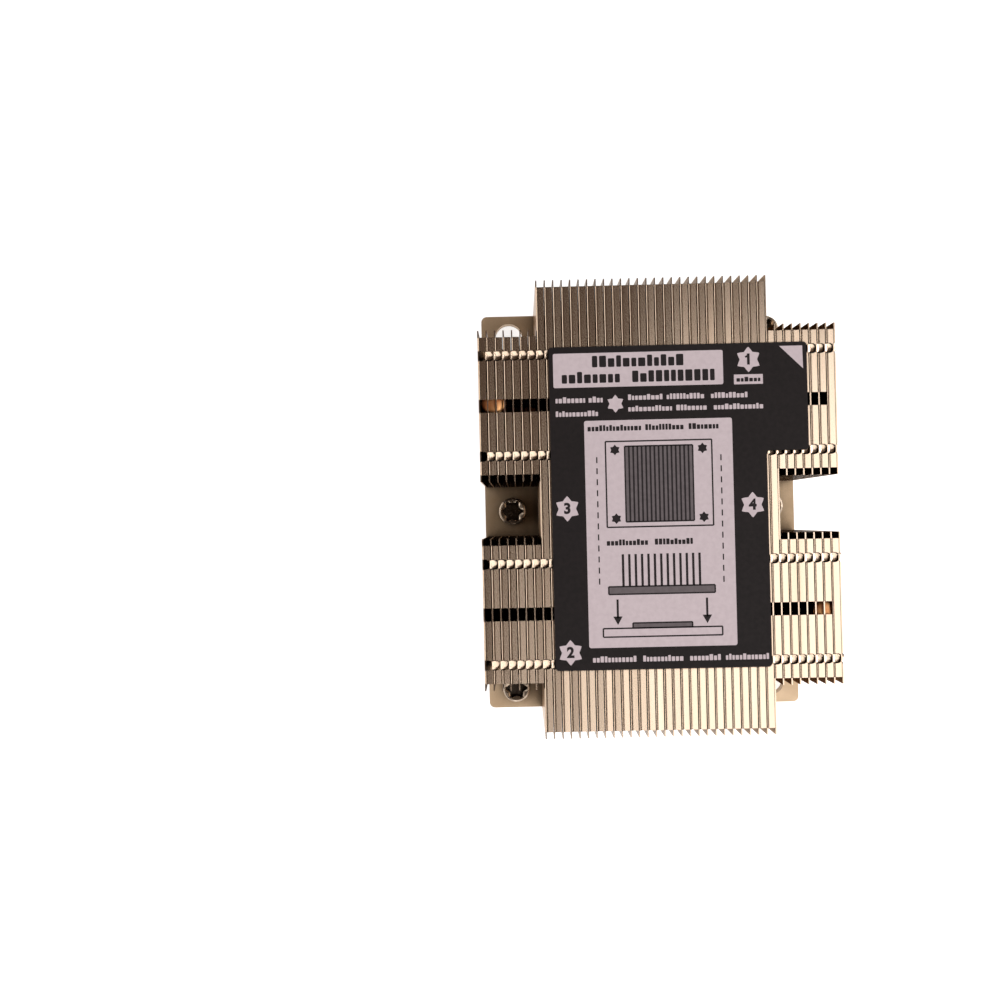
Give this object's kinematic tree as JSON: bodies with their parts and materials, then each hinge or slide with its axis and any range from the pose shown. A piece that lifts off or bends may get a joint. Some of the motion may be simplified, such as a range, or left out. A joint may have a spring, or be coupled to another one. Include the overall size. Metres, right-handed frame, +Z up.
{
  "type": "passive server cpu heatsink",
  "caption": "Passive processor heatsink: nickel-toned base plate, a long bank and four side blocks of thin folded fins, captive six-lobe nuts and a dark printed label on top.",
  "frame": {"origin": "middle of the contact face underneath", "axes": "+Z up through the fins, X across the fins, +Y along them towards the rear; the label's ear is at +X +Y"},
  "size_m": [0.085, 0.1082, 0.0642],
  "materials": {
    "plated_base": "satin nickel plate",
    "fin_metal": "satin nickel-toned sheet",
    "copper": "bare copper",
    "dark_steel": "dark plated steel",
    "spring_steel": "spring steel",
    "label_film": "printed polyester label"
  },
  "bodies": {
    "heatsink": {"base_plate": "plated_base", "heat_pipe_rear_left": "copper", "heat_pipe_front_right": "copper", "long_fin_01": "fin_metal", "long_fin_02": "fin_metal", "long_fin_03": "fin_metal", "long_fin_04": "fin_metal", "long_fin_05": "fin_metal", "long_fin_06": "fin_metal", "long_fin_07": "fin_metal", "long_fin_08": "fin_metal", "long_fin_09": "fin_metal", "long_fin_10": "fin_metal", "long_fin_11": "fin_metal", "long_fin_12": "fin_metal", "long_fin_13": "fin_metal", "long_fin_14": "fin_metal", "long_fin_15": "fin_metal", "long_fin_16": "fin_metal", "long_fin_17": "fin_metal", "long_fin_18": "fin_metal", "long_fin_19": "fin_metal", "long_fin_20": "fin_metal", "long_fin_21": "fin_metal", "long_fin_22": "fin_metal", "long_fin_23": "fin_metal", "long_fin_24": "fin_metal", "long_fin_25": "fin_metal", "long_fin_26": "fin_metal", "long_fin_27": "fin_metal", "long_fin_28": "fin_metal", "bridge_fin": "fin_metal", "fin_block_rear_left": "fin_metal", "fin_block_front_left": "fin_metal", "fin_block_rear_right": "fin_metal", "fin_block_front_right": "fin_metal", "top_label": "label_film"},
    "nut_1": {"captive_nut_1": "dark_steel", "retaining_ring_1": "spring_steel"},
    "nut_2": {"captive_nut_2": "dark_steel", "retaining_ring_2": "spring_steel"},
    "nut_3": {"captive_nut_3": "dark_steel", "retaining_ring_3": "spring_steel"},
    "nut_4": {"captive_nut_4": "dark_steel", "retaining_ring_4": "spring_steel"}
  },
  "joints": [
    {"name": "nut_1_turn", "type": "hinge", "parent": "heatsink", "child": "nut_1", "pos_m": [0.035, 0.0482, 0.006], "axis": [0, 0, 1], "continuous": true},
    {"name": "nut_2_turn", "type": "hinge", "parent": "heatsink", "child": "nut_2", "pos_m": [-0.035, -0.0482, 0.006], "axis": [0, 0, 1], "continuous": true},
    {"name": "nut_3_turn", "type": "hinge", "parent": "heatsink", "child": "nut_3", "pos_m": [-0.035, 0, 0.006], "axis": [0, 0, 1], "continuous": true},
    {"name": "nut_4_turn", "type": "hinge", "parent": "heatsink", "child": "nut_4", "pos_m": [0.035, 0, 0.006], "axis": [0, 0, 1], "continuous": true}
  ]
}
